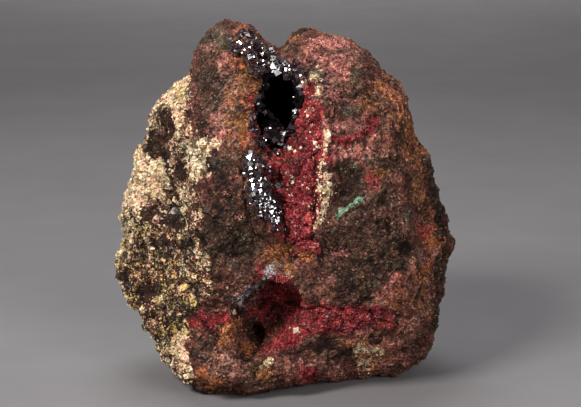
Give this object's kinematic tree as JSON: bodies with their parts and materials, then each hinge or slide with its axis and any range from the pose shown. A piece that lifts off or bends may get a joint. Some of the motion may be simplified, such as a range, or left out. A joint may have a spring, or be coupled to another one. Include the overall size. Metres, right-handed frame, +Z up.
{
  "type": "cuprite on matrix",
  "caption": "Broken lump of altered host rock with an open seam and a deep hollow lined with dark red cuprite crystals, and crimson druse on the seam's wall and in a lower pocket.",
  "frame": {"origin": "centre of the bounding box at the level of the flat patch the rock rests on", "axes": "+Z up the height of the standing rock, -Y out of the front with the seam, +X to the right seen from the front"},
  "size_m": [0.0917, 0.0752, 0.097],
  "materials": {
    "matrix": "rough broken rock, brown to mauve with cream, ochre and orange patches",
    "dark_crystal": "brilliant dark red to black crystal faces",
    "crimson_druse": "fine crimson crystals, half matt with glints"
  },
  "bodies": {
    "root": {"matrix": "matrix", "vug_crystal_crust": "dark_crystal", "crest_crystal_cluster": "dark_crystal", "seam_crystal_cluster": "dark_crystal", "red_druse": "crimson_druse", "pocket_druse": "crimson_druse"}
  },
  "joints": []
}
